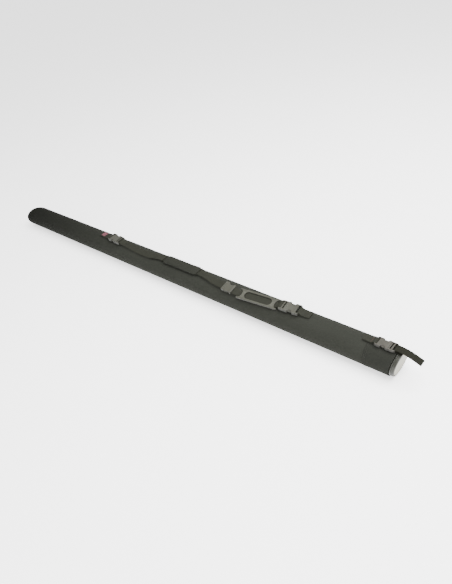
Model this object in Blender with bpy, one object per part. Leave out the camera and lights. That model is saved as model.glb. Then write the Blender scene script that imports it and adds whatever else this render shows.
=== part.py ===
"""A long hard carrying case for poles: a covered rigid tube with a pull-off end cap and a clip-on strap.

Metres, +Z up. The tube lies along X, its cap at +X, its strap along the top and its lowest facet at z = 0.
A place along the case is s, the distance from the cover's hem at the cap end towards the closed end.
"""

import math

import bmesh
import bpy
from mathutils import Matrix, Vector

MM = 0.001
GAP = 0.3 * MM

# Case
SIDES = 64
COVER_RADIUS = 31.75 * MM
COVER_THICKNESS = 1.25 * MM
TUBE_RADIUS = 30.15 * MM
TUBE_WALL = 2.0 * MM
LENGTH = 1330.0 * MM
MEAN_LENGTH = 1314.0 * MM
TAIL_REACH = 51.5 * MM
X_HEM = (LENGTH - TAIL_REACH) / 2
AXIS_Z = COVER_RADIUS
BAND_LENGTH = 61.0 * MM
BINDING_LENGTH = 1.9 * MM
LEAN_SIDE = 0.488
LEAN_UP = 0.247
LEAN_REACH = 20.0 * MM
TIP_SIDE = 0.0354
TIP_UP = 0.1417
TIP_REACH = 30.0 * MM
PIPING_RADIUS = 1.4 * MM
PIPING_RING = 28.3 * MM
PANEL_THICKNESS = 1.5 * MM
TUBE_LENGTH = 1284.0 * MM

# End cap
CAP_WALL = 8.0 * MM
CAP_PLUG = 24.0 * MM
CAP_SKIRT = 2.2 * MM
CAP_DISC_RADIUS = 28.0 * MM
CAP_EDGE = 0.9 * MM


# Webbing
WEB_WIDTH = 20.0 * MM
WEB_THICKNESS = 1.3 * MM
WEB_CHAMFER = 0.3 * MM
WEB_LIFT = GAP + WEB_THICKNESS / 2
STEP = 6.0 * MM

# Side-release buckle, in its own frame: +X from socket to plug, x = 0 at the mouth, z = 0 at the underside
BUCKLE_LIFT = 1.9 * MM
SOCKET_LENGTH = 34.0 * MM
SOCKET_WIDTH = 28.0 * MM
SOCKET_HEIGHT = 7.5 * MM
CAVITY_DEPTH = 22.0 * MM
CAVITY_WIDTH = 24.6 * MM
CAVITY_HEIGHT = 4.3 * MM
NOTCH_START = 6.0 * MM
NOTCH_END = 19.0 * MM
NOTCH_DEPTH = 4.6 * MM
PLUG_LENGTH = 17.0 * MM
PLUG_WIDTH = 27.2 * MM
PLUG_HEIGHT = 7.1 * MM
PRONG_LENGTH = 17.0 * MM
PRONG_ROOT = 9.8 * MM
PRONG_HEIGHT = 3.6 * MM
BLADE_WIDTH = 7.2 * MM
BLADE_HEIGHT = 3.3 * MM
BAR_LENGTH = 2.6 * MM
BAR_HEIGHT = 2.4 * MM
LOOP_RADIUS = 2.75 * MM
SLOT_WIDTH = 21.6 * MM
MID = SOCKET_HEIGHT / 2

# Closure at the cap: the same buckle in a smaller size, on narrower webbing
CLOSURE_AT = 16.5 * MM
CLOSURE_LIFT = 0.8 * MM
CLOSURE_SIZE = 0.86
CLOSURE_WEB = 17.6 * MM

# Strap pieces: place along the case, roll about its axis, sideways offset, heading
PLANE_ROLL = math.radians(14.0)
PAD_LENGTH = 112.0 * MM
PAD_WIDTH = 29.0 * MM
PAD_MID = 338.0 * MM
PAD_OFFSET = -2.5 * MM
PAD_BITE = 10.5 * MM
PAD_YAW = math.radians(4.7)
PAD_ROOF = 2.4 * MM
PAD_TOP = 4.1 * MM
WINDOW_LENGTH = 75.0 * MM
WINDOW_WIDTH = 19.6 * MM
CHANNEL_WIDTH = 22.4 * MM
SLIDER_LENGTH = 31.0 * MM
SLIDER_WIDTH = 26.0 * MM
SLIDER_MID = 426.5 * MM
SLIDER_OFFSET = -4.4 * MM
SLIDER_YAW = math.radians(-4.0)
SLIDER_TOP = 5.9 * MM
SLIDER_WEB = 2.3 * MM
GRIP_START = 533.0 * MM
GRIP_END = 660.0 * MM
GRIP_WIDTH = 34.0 * MM
GRIP_TOP = 5.6 * MM
GRIP_ROLL = math.radians(3.0)
GRIP_SLOT_WIDTH = 27.5 * MM
GRIP_SLOT_LOW = 1.2 * MM
GRIP_SLOT_HIGH = 4.4 * MM
GRIP_WEB = (GRIP_SLOT_LOW + GRIP_SLOT_HIGH) / 2

MATERIALS = {
    "cover_fabric": ((0.050, 0.052, 0.044), 0.85, 0.0),
    "binding_tape": ((0.030, 0.031, 0.027), 0.80, 0.0),
    "webbing": ((0.032, 0.033, 0.026), 0.80, 0.0),
    "buckle_plastic": ((0.150, 0.150, 0.125), 0.35, 0.0),
    "tube_plastic": ((0.420, 0.420, 0.400), 0.45, 0.0),
    "cap_plastic": ((0.300, 0.300, 0.280), 0.30, 0.0),
    "cap_face": ((0.720, 0.720, 0.660), 0.40, 0.0),
    "foam": ((0.060, 0.060, 0.060), 0.95, 0.0),
    "rivet_metal": ((0.350, 0.340, 0.320), 0.35, 1.0),
    "label": ((0.620, 0.300, 0.300), 0.80, 0.0),
}


def clear_scene():
    for obj in list(bpy.data.objects):
        bpy.data.objects.remove(obj, do_unlink=True)


def material(name):
    found = bpy.data.materials.get(name)
    if found:
        return found
    colour, roughness, metallic = MATERIALS[name]
    made = bpy.data.materials.new(name)
    made.use_nodes = True
    shader = made.node_tree.nodes["Principled BSDF"]
    shader.inputs["Base Color"].default_value = (*colour, 1.0)
    shader.inputs["Roughness"].default_value = roughness
    shader.inputs["Metallic"].default_value = metallic
    return made


def add_object(name, bm, slot, matrix=None):
    """A mesh object from a bmesh, its faces turned outwards."""
    bmesh.ops.recalc_face_normals(bm, faces=bm.faces[:])
    mesh = bpy.data.meshes.new(name)
    bm.to_mesh(mesh)
    bm.free()
    mesh.shade_smooth()
    mesh.set_sharp_from_angle(angle=math.radians(35.0))
    obj = bpy.data.objects.new(name, mesh)
    bpy.context.scene.collection.objects.link(obj)
    if matrix is not None:
        obj.matrix_world = matrix
    if slot:
        mesh.materials.append(material(slot))
    return obj


def helper(obj):
    """A cutter or added shape that only a modifier uses."""
    obj.hide_render = True
    obj.display_type = "WIRE"
    return obj


def boolean(obj, other, operation):
    """Cuts or joins another object in this one's own frame."""
    helper(other)
    other.matrix_world = obj.matrix_world @ other.matrix_world
    modifier = obj.modifiers.new(operation.lower(), "BOOLEAN")
    modifier.operation = operation
    modifier.object = other
    modifier.solver = "EXACT"


def place(s, roll=0.0, lift=0.0, offset=0.0, yaw=0.0, facing=1):
    """The frame of a piece lying on the cover: its X along the case, its Z away from the tube's axis."""
    turned = Matrix.Rotation(yaw if facing > 0 else yaw + math.pi, 4, "Z")
    return (
        Matrix.Translation((X_HEM - s, 0.0, AXIS_Z))
        @ Matrix.Rotation(roll, 4, "X")
        @ Matrix.Translation((0.0, offset, COVER_RADIUS + lift))
        @ turned
    )


# Shapes


def turned(name, profile, slot, sides=SIDES):
    """A shape turned about the tube's axis from a closed outline of (x, radius to the flats) points."""
    bm = bmesh.new()
    to_corner = 1.0 / math.cos(math.pi / sides)
    rings = []
    for x, radius in profile:
        if radius == 0.0:
            rings.append([bm.verts.new((x, 0.0, AXIS_Z))] * sides)
            continue
        ring = []
        for i in range(sides):
            angle = 2.0 * math.pi * (i + 0.5) / sides
            y = radius * to_corner * math.sin(angle)
            z = radius * to_corner * math.cos(angle)
            ring.append(bm.verts.new((x, y, AXIS_Z + z)))
        rings.append(ring)
    for k, ring in enumerate(rings):
        after = rings[(k + 1) % len(rings)]
        for i in range(sides):
            j = (i + 1) % sides
            corners = list(dict.fromkeys((ring[i], ring[j], after[j], after[i])))
            if len(corners) > 2:
                bm.faces.new(corners)
    return add_object(name, bm, slot)


def slanted(obj, x_limit):
    """Leans the vertices beyond x_limit: the soft closed end reaches further at the bottom and at -Y."""
    for vertex in obj.data.vertices:
        if vertex.co.x < x_limit:
            vertex.co.x += LEAN_SIDE * vertex.co.y + LEAN_UP * (vertex.co.z - AXIS_Z)
    return obj


def tipped(obj):
    """Tips the vertices at the cap end: the hem and the cap reach further at the top, and a little at +Y."""
    for vertex in obj.data.vertices:
        if vertex.co.x > X_HEM - TIP_REACH:
            vertex.co.x += TIP_SIDE * vertex.co.y + TIP_UP * (vertex.co.z - AXIS_Z)
    return obj


def ribbon(name, stations, slot, thickness=WEB_THICKNESS, round_ends=0.0, width=WEB_WIDTH):
    """A strip of webbing through (point, across) stations, with chamfered edges and corners."""
    bm = bmesh.new()
    half = thickness / 2
    points = [point for point, _ in stations]
    run = [0.0]
    for before, after in zip(points, points[1:]):
        run.append(run[-1] + (after - before).length)
    rings = []
    for k, (point, across) in enumerate(stations):
        ahead = points[min(k + 1, len(points) - 1)] - points[max(k - 1, 0)]
        up = ahead.normalized().cross(across).normalized()
        side = width / 2
        to_end = min(run[k], run[-1] - run[k])
        if to_end < round_ends:
            side -= round_ends - math.sqrt(round_ends**2 - (round_ends - to_end) ** 2)
        edge = side - WEB_CHAMFER
        waist = half - WEB_CHAMFER
        outline = [
            (side, -waist), (side, waist), (edge, half), (-edge, half),
            (-side, waist), (-side, -waist), (-edge, -half), (edge, -half),
        ]
        rings.append([bm.verts.new(point + across * v + up * w) for v, w in outline])
    for first, second in zip(rings, rings[1:]):
        for i in range(8):
            j = (i + 1) % 8
            bm.faces.new((first[i], first[j], second[j], second[i]))
    bm.faces.new(rings[0])
    bm.faces.new(rings[-1][::-1])
    return add_object(name, bm, slot)


def prism(name, outline, low, high, slot, matrix=None):
    """A flat outline in the XY plane, extruded from low to high."""
    bm = bmesh.new()
    base = bm.faces.new([bm.verts.new((x, y, low)) for x, y in outline])
    grown = bmesh.ops.extrude_face_region(bm, geom=[base])["geom"]
    risen = [item for item in grown if isinstance(item, bmesh.types.BMVert)]
    bmesh.ops.translate(bm, verts=risen, vec=(0.0, 0.0, high - low))
    return add_object(name, bm, slot, matrix)


def block(name, x_range, width, z_range, y_mid=0.0):
    """A plain box, used as a cutter or an added rib."""
    outline = [
        (x_range[0], y_mid - width / 2), (x_range[1], y_mid - width / 2),
        (x_range[1], y_mid + width / 2), (x_range[0], y_mid + width / 2),
    ]
    return prism(name, outline, z_range[0], z_range[1], None)


def arc(centre, radius, start, end, steps):
    """Points on a circle from one angle in degrees to another."""
    found = []
    for k in range(steps + 1):
        angle = math.radians(start + (end - start) * k / steps)
        found.append((centre[0] + radius * math.cos(angle), centre[1] + radius * math.sin(angle)))
    return found


def mirrored(half):
    """A closed outline from its +Y half, read along X."""
    return half + [(x, -y) for x, y in reversed(half) if abs(y) > 1e-9]


def rounded(obj, width, segments=2):
    """Rounds the object's sharp edges."""
    modifier = obj.modifiers.new("edges", "BEVEL")
    modifier.width = width
    modifier.segments = segments
    modifier.limit_method = "ANGLE"
    modifier.angle_limit = math.radians(40.0)
    return obj


def smooth_between(stations, s):
    """A smooth value of each column of a route table at s."""
    rows = [row for row in stations if row[0] <= s]
    i = min(max(len(rows) - 1, 0), len(stations) - 2)
    before = stations[max(i - 1, 0)]
    low = stations[i]
    high = stations[i + 1]
    after = stations[min(i + 2, len(stations) - 1)]
    span = high[0] - low[0]
    t = min(max((s - low[0]) / span, 0.0), 1.0)
    values = []
    for k in range(1, len(low)):
        slope_low = (high[k] - before[k]) / (high[0] - before[0]) * span
        slope_high = (after[k] - low[k]) / (after[0] - low[0]) * span
        values.append(
            (2 * t**3 - 3 * t**2 + 1) * low[k]
            + (t**3 - 2 * t**2 + t) * slope_low
            + (3 * t**2 - 2 * t**3) * high[k]
            + (t**3 - t**2) * slope_high
        )
    return values


def route(stations):
    """(point, across) pairs every STEP along a table of s, roll in degrees, offset and lift in mm."""
    start, end = stations[0][0], stations[-1][0]
    count = max(2, round((end - start) * MM / STEP))
    found = []
    for k in range(count + 1):
        s = start + (end - start) * k / count
        roll, offset, lift = smooth_between(stations, s)
        frame = place(s * MM, math.radians(roll), lift * MM, offset * MM)
        found.append((frame.translation.copy(), frame.col[1].to_3d()))
    return found


def in_frame(frame, path, flip=1.0):
    """(point, across) pairs from (x, z) points in the frame of a buckle."""
    across = frame.col[1].to_3d() * flip
    return [(frame @ Vector((x, 0.0, z)), across) for x, z in path]


# Case


def make_case():
    inner = COVER_RADIUS - COVER_THICKNESS
    far = X_HEM - MEAN_LENGTH + PIPING_RADIUS
    sleeve = [
        (X_HEM - BAND_LENGTH - GAP, inner), (X_HEM - BAND_LENGTH - GAP, COVER_RADIUS),
        (far + 5.0 * MM, COVER_RADIUS), (far + 2.4 * MM, 31.2 * MM), (far + 0.6 * MM, 29.9 * MM),
        (far + 1.9 * MM, 29.2 * MM), (far + 3.2 * MM, 30.1 * MM), (far + 5.4 * MM, inner),
    ]
    slanted(turned("cover_sleeve", sleeve, "cover_fabric"), far + LEAN_REACH)
    band_start = X_HEM - BINDING_LENGTH - GAP
    band = [
        (band_start, inner), (band_start, COVER_RADIUS),
        (X_HEM - BAND_LENGTH, COVER_RADIUS), (X_HEM - BAND_LENGTH, inner),
    ]
    tipped(turned("cover_end_band", band, "cover_fabric"))
    hem = [
        (X_HEM - BINDING_LENGTH, inner), (X_HEM - BINDING_LENGTH, COVER_RADIUS),
        (X_HEM - 0.5 * MM, COVER_RADIUS), (X_HEM, COVER_RADIUS - 0.5 * MM), (X_HEM, inner),
    ]
    tipped(turned("hem_binding", hem, "binding_tape"))
    bore = TUBE_RADIUS - TUBE_WALL
    tube = [
        (X_HEM, bore), (X_HEM, TUBE_RADIUS),
        (X_HEM - TUBE_LENGTH, TUBE_RADIUS), (X_HEM - TUBE_LENGTH, bore),
    ]
    tipped(turned("inner_tube", tube, "tube_plastic"))
    make_closed_end(far, bore)


def make_closed_end(far, bore):
    cord = arc((far, PIPING_RING), PIPING_RADIUS, 0.0, 315.0, 7)
    slanted(turned("end_piping", cord, "binding_tape"), X_HEM)
    panel_radius = PIPING_RING - PIPING_RADIUS - GAP
    face = far - PANEL_THICKNESS / 2
    panel = [
        (face, 0.0), (face, panel_radius),
        (face + PANEL_THICKNESS, panel_radius), (face + PANEL_THICKNESS, 0.0),
    ]
    slanted(turned("end_panel", panel, "cover_fabric"), X_HEM)
    end = X_HEM - TUBE_LENGTH - GAP
    skirt = bore - GAP
    plug = [
        (end - 3.0 * MM, 0.0), (end - 3.0 * MM, TUBE_RADIUS - 1.0 * MM),
        (end - 2.0 * MM, TUBE_RADIUS), (end, TUBE_RADIUS), (end, skirt),
        (end + 18.0 * MM, skirt), (end + 18.0 * MM, skirt - 2.2 * MM), (end, skirt - 2.2 * MM), (end, 0.0),
    ]
    turned("tube_end_plug", plug, "tube_plastic")
    pad_radius = skirt - 2.2 * MM - GAP
    pad = [
        (end + GAP, 0.0), (end + GAP, pad_radius),
        (end + 8.0 * MM, pad_radius), (end + 8.0 * MM, 0.0),
    ]
    turned("end_foam_bumper", pad, "foam")


# End cap


def make_cap():
    back = X_HEM + GAP
    face = X_HEM + CAP_WALL
    skirt = TUBE_RADIUS - TUBE_WALL - GAP
    bore = skirt - CAP_SKIRT
    floor = face - 3.4 * MM
    recess = face - 1.2 * MM
    shell = [
        (floor, 0.0), (floor, bore), (X_HEM - CAP_PLUG, bore), (X_HEM - CAP_PLUG, skirt - 0.6 * MM),
        (X_HEM - CAP_PLUG + 1.5 * MM, skirt), (back, skirt), (back, TUBE_RADIUS),
        (face - CAP_EDGE, TUBE_RADIUS), (face - 0.3 * CAP_EDGE, TUBE_RADIUS - 0.3 * CAP_EDGE),
        (face, TUBE_RADIUS - CAP_EDGE), (face, CAP_DISC_RADIUS + GAP), (recess, CAP_DISC_RADIUS + GAP),
        (recess, 0.0),
    ]
    tipped(turned("end_cap", shell, "cap_plastic"))
    proud = face + 0.3 * MM
    disc = [
        (recess + GAP, 0.0), (recess + GAP, CAP_DISC_RADIUS), (proud - 0.3 * MM, CAP_DISC_RADIUS),
        (proud, CAP_DISC_RADIUS - 0.4 * MM), (proud, 0.0),
    ]
    tipped(turned("cap_face_disc", disc, "cap_face"))
    pad = [
        (floor - GAP, 0.0), (floor - GAP, bore - GAP),
        (floor - 4.0 * MM, bore - GAP), (floor - 4.0 * MM, 0.0),
    ]
    tipped(turned("cap_foam_pad", pad, "foam"))
    make_cap_strap()


def make_cap_strap():
    """One length of webbing: riveted to the cap's wall, round the plug's end bar, and out as a loose tail."""
    on_wall = (TUBE_RADIUS - COVER_RADIUS) / MM + WEB_LIFT / MM
    bar_x = ((PLUG_LENGTH - BAR_LENGTH / 2) * CLOSURE_SIZE - CLOSURE_AT) / MM
    low = (CLOSURE_LIFT + (MID - LOOP_RADIUS) * CLOSURE_SIZE) / MM
    high = (CLOSURE_LIFT + (MID + LOOP_RADIUS) * CLOSURE_SIZE) / MM
    rise = [(11.8, on_wall), (9.5, on_wall), (7.4, on_wall + 0.05), (6.3, on_wall + 0.5),
            (5.3, low - 1.0), (4.2, low - 0.3), (3.0, low), (0.6, low)]
    loop = arc((bar_x, (low + high) / 2), LOOP_RADIUS * CLOSURE_SIZE / MM, 270.0, 90.0, 8)
    tail = [(1.6, high), (6.0, high - 0.2), (12.0, high - 0.9), (18.0, high - 2.0),
            (25.0, high - 3.9), (33.0, high - 6.6), (42.0, high - 10.2)]
    tip = (TAIL_REACH / MM - 0.2, high - 14.4)
    frame = place(0.0)
    path = [(x * MM, z * MM) for x, z in rise + loop + tail + [tip]]
    ribbon("cap_strap", in_frame(frame, path), "webbing", width=CLOSURE_WEB)
    head = place(-9.3 * MM, 0.0, (on_wall + WEB_THICKNESS / MM / 2) * MM + GAP)
    outline = arc((0.0, 0.0), 2.2 * MM, 0.0, 337.5, 15)
    rounded(prism("cap_rivet", outline, 0.0, 1.0 * MM, "rivet_metal", head), 0.35 * MM)


# Buckles


def socket_half():
    """The +Y half of the socket's plan, from its webbing bar to its mouth."""
    half = SOCKET_WIDTH / 2
    middle = -(NOTCH_START + NOTCH_END) / 2
    reach = (NOTCH_END - NOTCH_START) / 2
    radius = (reach**2 + NOTCH_DEPTH**2) / (2 * NOTCH_DEPTH)
    swing = math.degrees(math.asin(reach / radius))
    notch = arc((middle, half - NOTCH_DEPTH + radius), radius, 270.0 - swing, 270.0 + swing, 8)
    shoulder = [(-SOCKET_LENGTH, half - 2.4 * MM), (-SOCKET_LENGTH + 1.2 * MM, half - 1.0 * MM)]
    return shoulder + [(-SOCKET_LENGTH + 4.0 * MM, half - 0.4 * MM)] + notch + [(0.0, half)]


def make_socket(name, frame):
    socket = prism(name, mirrored(socket_half()), 0.0, SOCKET_HEIGHT, "buckle_plastic", frame)
    rounded(socket, 0.8 * MM)
    low = (SOCKET_HEIGHT - CAVITY_HEIGHT) / 2
    end = -SOCKET_LENGTH
    bar_low = MID - BAR_HEIGHT / 2
    bar_high = MID + BAR_HEIGHT / 2
    beside = (end - 1.0 * MM, end + BAR_LENGTH + 0.5 * MM)
    above = SOCKET_HEIGHT + 1.0 * MM
    cuts = [
        ("cavity", (-CAVITY_DEPTH, 2.0 * MM), CAVITY_WIDTH, (low, low + CAVITY_HEIGHT)),
        ("slot", (end + BAR_LENGTH, end + 6.8 * MM), SLOT_WIDTH, (-1.0 * MM, above)),
        ("over_bar", beside, SLOT_WIDTH, (bar_high, above)),
        ("under_bar", beside, SLOT_WIDTH, (-1.0 * MM, bar_low)),
    ]
    for label, x_range, width, z_range in cuts:
        boolean(socket, block(name + "." + label, x_range, width, z_range), "DIFFERENCE")
    return socket


def make_plug(name, frame):
    half = PLUG_WIDTH / 2
    low = (SOCKET_HEIGHT - PLUG_HEIGHT) / 2
    high = low + PLUG_HEIGHT
    side = [(GAP, half), (PLUG_LENGTH - 4.0 * MM, half - 0.2 * MM), (PLUG_LENGTH - 1.2 * MM, half - 1.0 * MM),
            (PLUG_LENGTH, half - 2.4 * MM)]
    plug = prism(name, mirrored(side), low, high, "buckle_plastic", frame)
    rounded(plug, 0.8 * MM)
    bar_start = PLUG_LENGTH - BAR_LENGTH
    bar_low = MID - BAR_HEIGHT / 2
    bar_high = MID + BAR_HEIGHT / 2
    beside = (bar_start - 0.5 * MM, PLUG_LENGTH + 1.0 * MM)
    through = (low - 1.0 * MM, high + 1.0 * MM)
    cuts = [
        ("front_slot", (3.6 * MM, 6.8 * MM), SLOT_WIDTH, through),
        ("rear_slot", (10.6 * MM, bar_start), SLOT_WIDTH, through),
        ("over_bar", beside, SLOT_WIDTH, (bar_high, through[1])),
        ("under_bar", beside, SLOT_WIDTH, (through[0], bar_low)),
    ]
    for label, x_range, width, z_range in cuts:
        boolean(plug, block(name + "." + label, x_range, width, z_range), "DIFFERENCE")
    blade = block(name + ".blade", (-PRONG_LENGTH + 1.0 * MM, 1.5 * MM), BLADE_WIDTH,
                  (MID - BLADE_HEIGHT / 2, MID + BLADE_HEIGHT / 2))
    boolean(plug, blade, "UNION")
    return plug


def make_prong(name, frame, side):
    """One sprung arm of the plug; its origin is the hinge at its root."""
    length = PRONG_LENGTH
    pad = CAVITY_WIDTH / 2 - GAP
    outer = [(0.0, 11.2 * MM), (-5.0 * MM, 11.3 * MM), (-7.2 * MM, pad), (-14.0 * MM, pad),
             (-length + 0.6 * MM, 10.6 * MM), (-length, 9.9 * MM)]
    inner = [(-length, 9.1 * MM), (-length + 3.0 * MM, 8.9 * MM), (-9.0 * MM, 9.0 * MM), (0.0, 8.4 * MM)]
    outline = [(x, side * (y - PRONG_ROOT)) for x, y in outer + inner]
    root = frame @ Matrix.Translation((-0.1 * MM, side * PRONG_ROOT, MID))
    prong = prism(name, outline, -PRONG_HEIGHT / 2, PRONG_HEIGHT / 2, "buckle_plastic", root)
    return rounded(prong, 0.4 * MM, 1)


def make_buckle(number, frame):
    make_socket(f"buckle_{number}_socket", frame)
    make_plug(f"buckle_{number}_plug", frame)
    make_prong(f"buckle_{number}_prong_a", frame, 1)
    make_prong(f"buckle_{number}_prong_b", frame, -1)


def make_tab(number, frame, length, lift=BUCKLE_LIFT, size=1.0, width=WEB_WIDTH):
    """Webbing sewn to the cover, folded round the socket's bar; lengths are in the buckle's own size."""
    bar_x = (-SOCKET_LENGTH + BAR_LENGTH / 2) / MM
    mid = MID / MM
    radius = LOOP_RADIUS / MM
    sewn = (WEB_LIFT - lift) / MM / size
    over = sewn + (WEB_THICKNESS / MM + 0.35) / size
    end = -SOCKET_LENGTH / MM - length
    count = max(2, round((length - 8.0) / 6.0))
    flat = [end + (length - 8.0) * k / count for k in range(count + 1)]
    corner = [end + x for x in (0.25, 0.8, 1.6, 2.6)]
    below = [(x, sewn) for x in sorted(flat + corner)]
    below += [(end + length - 5.0, sewn + 0.2), (bar_x - 2.0, mid - radius - 0.2)]
    loop = arc((bar_x, mid), radius, 270.0, 450.0, 8)
    above = [(bar_x - 2.5, mid + radius - 0.3), (bar_x - 5.5, (mid + radius + over) / 2),
             (bar_x - 8.5, over + 0.4), (bar_x - 11.0, over)]
    above += [(x, over) for x in sorted(flat + corner, reverse=True) if x < bar_x - 12.0]
    path = [(x * MM, z * MM) for x, z in below + loop + above]
    ribbon(f"tab_{number}", in_frame(frame, path), "webbing", round_ends=3.0 * MM, width=width / size)


# Strap


def end_loop(frame, flip):
    """Webbing round a plug's end bar, from its folded-under end to the top of the loop."""
    bar_x = (PLUG_LENGTH - BAR_LENGTH / 2) / MM
    mid = MID / MM
    radius = LOOP_RADIUS / MM
    sewn = (WEB_LIFT - BUCKLE_LIFT) / MM
    below = [(bar_x + 6.0, sewn), (bar_x + 4.9, sewn + 0.1), (bar_x + 3.4, (sewn + mid - radius) / 2),
             (bar_x + 1.6, mid - radius - 0.2)]
    loop = arc((bar_x, mid), radius, 270.0, 90.0, 8)
    crest = mid + radius
    top = [(bar_x + 2.2, crest - 0.5), (bar_x + 4.3, crest - 2.1), (bar_x + 6.3, crest - 4.0)]
    path = [(x * MM, z * MM) for x, z in below + loop + top]
    return in_frame(frame, path, flip)


def make_strap(front_plug, rear_plug):
    web = WEB_LIFT / MM
    grip = GRIP_WEB / MM
    slide = SLIDER_WEB / MM
    front = [
        (285.0, 10.8, 0.1, web + 0.9), (288.5, 13.0, 0.6, web + 0.1), (293.0, 13.8, 0.7, web),
        (310.0, 14.0, -0.4, web), (360.0, 14.0, -4.5, web), (388.0, 14.0, -6.4, web),
        (399.0, 14.0, -6.3, slide - 0.5), (405.0, 14.0, -5.9, slide), (448.0, 14.0, -2.9, slide),
        (454.0, 14.0, -2.6, slide - 0.4), (464.0, 14.0, -2.0, web), (471.0, 13.6, -1.7, web + 0.1),
        (484.0, 11.6, -1.4, grip - 1.0), (496.0, 8.8, -1.0, grip - 0.1), (506.0, 6.4, -0.8, grip),
        (519.0, 4.2, -0.6, grip), (540.0, 3.0, -0.6, grip), (578.0, 3.0, -0.6, grip),
    ]
    rear = [
        (617.0, 3.0, -0.6, grip), (650.0, 3.0, -0.6, grip), (670.0, 4.2, -0.7, grip),
        (685.0, 6.6, -0.9, grip), (695.0, 9.0, -1.1, grip - 0.3), (709.0, 11.8, -1.2, web + 0.5),
        (729.0, 13.6, -0.9, web), (748.0, 14.0, -0.6, web), (790.0, 10.5, -0.5, web),
        (812.0, 7.0, -0.8, web + 0.4), (822.0, 5.5, -1.2, web + 0.15),
        (825.5, 5.2, -1.3, web + 0.6), (829.0, 5.0, -1.4, web + 1.7),
    ]
    ribbon("strap_front", end_loop(front_plug, -1.0) + route(front), "webbing")
    ribbon("strap_rear", route(rear) + end_loop(rear_plug, 1.0)[::-1], "webbing")


def make_grip():
    """The padded sleeve that the strap runs through."""
    length = GRIP_END - GRIP_START
    half = GRIP_WIDTH / 2
    middle = (GRIP_TOP + GAP) / 2
    frame = place((GRIP_START + GRIP_END) / 2, GRIP_ROLL)
    section = [(-half, middle - 0.8 * MM), (-half + 1.4 * MM, GAP), (half - 1.4 * MM, GAP),
               (half, middle - 0.8 * MM), (half, middle + 0.8 * MM), (half - 2.2 * MM, GRIP_TOP),
               (-half + 2.2 * MM, GRIP_TOP), (-half, middle + 0.8 * MM)]
    bm = bmesh.new()
    ends = []
    for x in (-length / 2, length / 2):
        ends.append([bm.verts.new((x, y, z)) for y, z in section])
    for i in range(8):
        j = (i + 1) % 8
        bm.faces.new((ends[0][i], ends[0][j], ends[1][j], ends[1][i]))
    bm.faces.new(ends[0])
    bm.faces.new(ends[1][::-1])
    grip = add_object("grip_sleeve", bm, "cover_fabric", frame)
    slot = block("grip_sleeve.slot", (-length, length), GRIP_SLOT_WIDTH, (GRIP_SLOT_LOW, GRIP_SLOT_HIGH))
    boolean(grip, slot, "DIFFERENCE")


def make_pad():
    """The moulded non-slip pad: a long window and a concave bite at each end, straddling the webbing."""
    frame = place(PAD_MID, PLANE_ROLL, 0.0, PAD_OFFSET, PAD_YAW)
    half = PAD_LENGTH / 2
    side = PAD_WIDTH / 2
    horn = side - 3.2 * MM
    bite = [(half - PAD_BITE * math.cos(turn) ** 0.6, horn * math.sin(turn))
            for turn in (math.radians(15.0 * k) for k in range(7))]
    left = [(-x, y) for x, y in bite]
    right = bite[::-1]
    corner_left = [(-half + 0.3 * MM, side - 1.2 * MM), (-half + 3.0 * MM, side)]
    corner_right = [(half - 3.0 * MM, side), (half - 0.3 * MM, side - 1.2 * MM)]
    outline = mirrored(left + corner_left + corner_right + right)
    pad = prism("strap_pad", outline, 0.5 * MM, PAD_TOP, "buckle_plastic", frame)
    rounded(pad, 0.8 * MM)
    channel = block("strap_pad.channel", (-PAD_LENGTH, PAD_LENGTH), CHANNEL_WIDTH, (-2.0 * MM, PAD_ROOF))
    boolean(pad, channel, "DIFFERENCE")
    turn = WINDOW_WIDTH / 2
    straight = WINDOW_LENGTH / 2 - turn
    hole = arc((straight, 0.0), turn, -90.0, 90.0, 10) + arc((-straight, 0.0), turn, 90.0, 270.0, 10)
    window = prism("strap_pad.window", hole, 0.0, PAD_TOP + 1.0 * MM, None)
    boolean(pad, window, "DIFFERENCE")


def make_slider():
    """The moulded slider on the webbing, waisted towards its open end."""
    frame = place(SLIDER_MID, PLANE_ROLL, 0.0, SLIDER_OFFSET, SLIDER_YAW)
    half = SLIDER_LENGTH / 2
    side = SLIDER_WIDTH / 2
    waist = arc((half * 0.5, side + 3.2 * MM), 5.2 * MM, 218.0, 322.0, 6)
    upper = [(-half, side - 1.6 * MM), (-half + 1.6 * MM, side)] + waist
    upper += [(half - 0.8 * MM, side - 0.3 * MM), (half, side - 1.4 * MM)]
    slider = prism("strap_slider", mirrored(upper), 0.35 * MM, SLIDER_TOP, "buckle_plastic", frame)
    rounded(slider, 0.7 * MM)
    tunnel = block("strap_slider.tunnel", (-SLIDER_LENGTH, SLIDER_LENGTH), SLOT_WIDTH,
                   (SLIDER_WEB - 1.0 * MM, SLIDER_WEB + 1.0 * MM))
    boolean(slider, tunnel, "DIFFERENCE")
    mouth = block("strap_slider.mouth", (half - 7.0 * MM, SLIDER_LENGTH), SLOT_WIDTH,
                  (SLIDER_WEB - 0.5 * MM, SLIDER_WEB + 2.3 * MM))
    boolean(slider, mouth, "DIFFERENCE")


def make_label(frame):
    """A plain woven label on the strap's far tab."""
    low = (WEB_LIFT - BUCKLE_LIFT) + 1.5 * WEB_THICKNESS + 0.35 * MM + GAP
    start = -SOCKET_LENGTH - 41.5 * MM
    end = start + 16.0 * MM
    side = 7.5 * MM
    outline = [(start, -side), (end, -side), (end, side), (start, side)]
    prism("woven_label", outline, low, low + 0.6 * MM, "label", frame)


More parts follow.
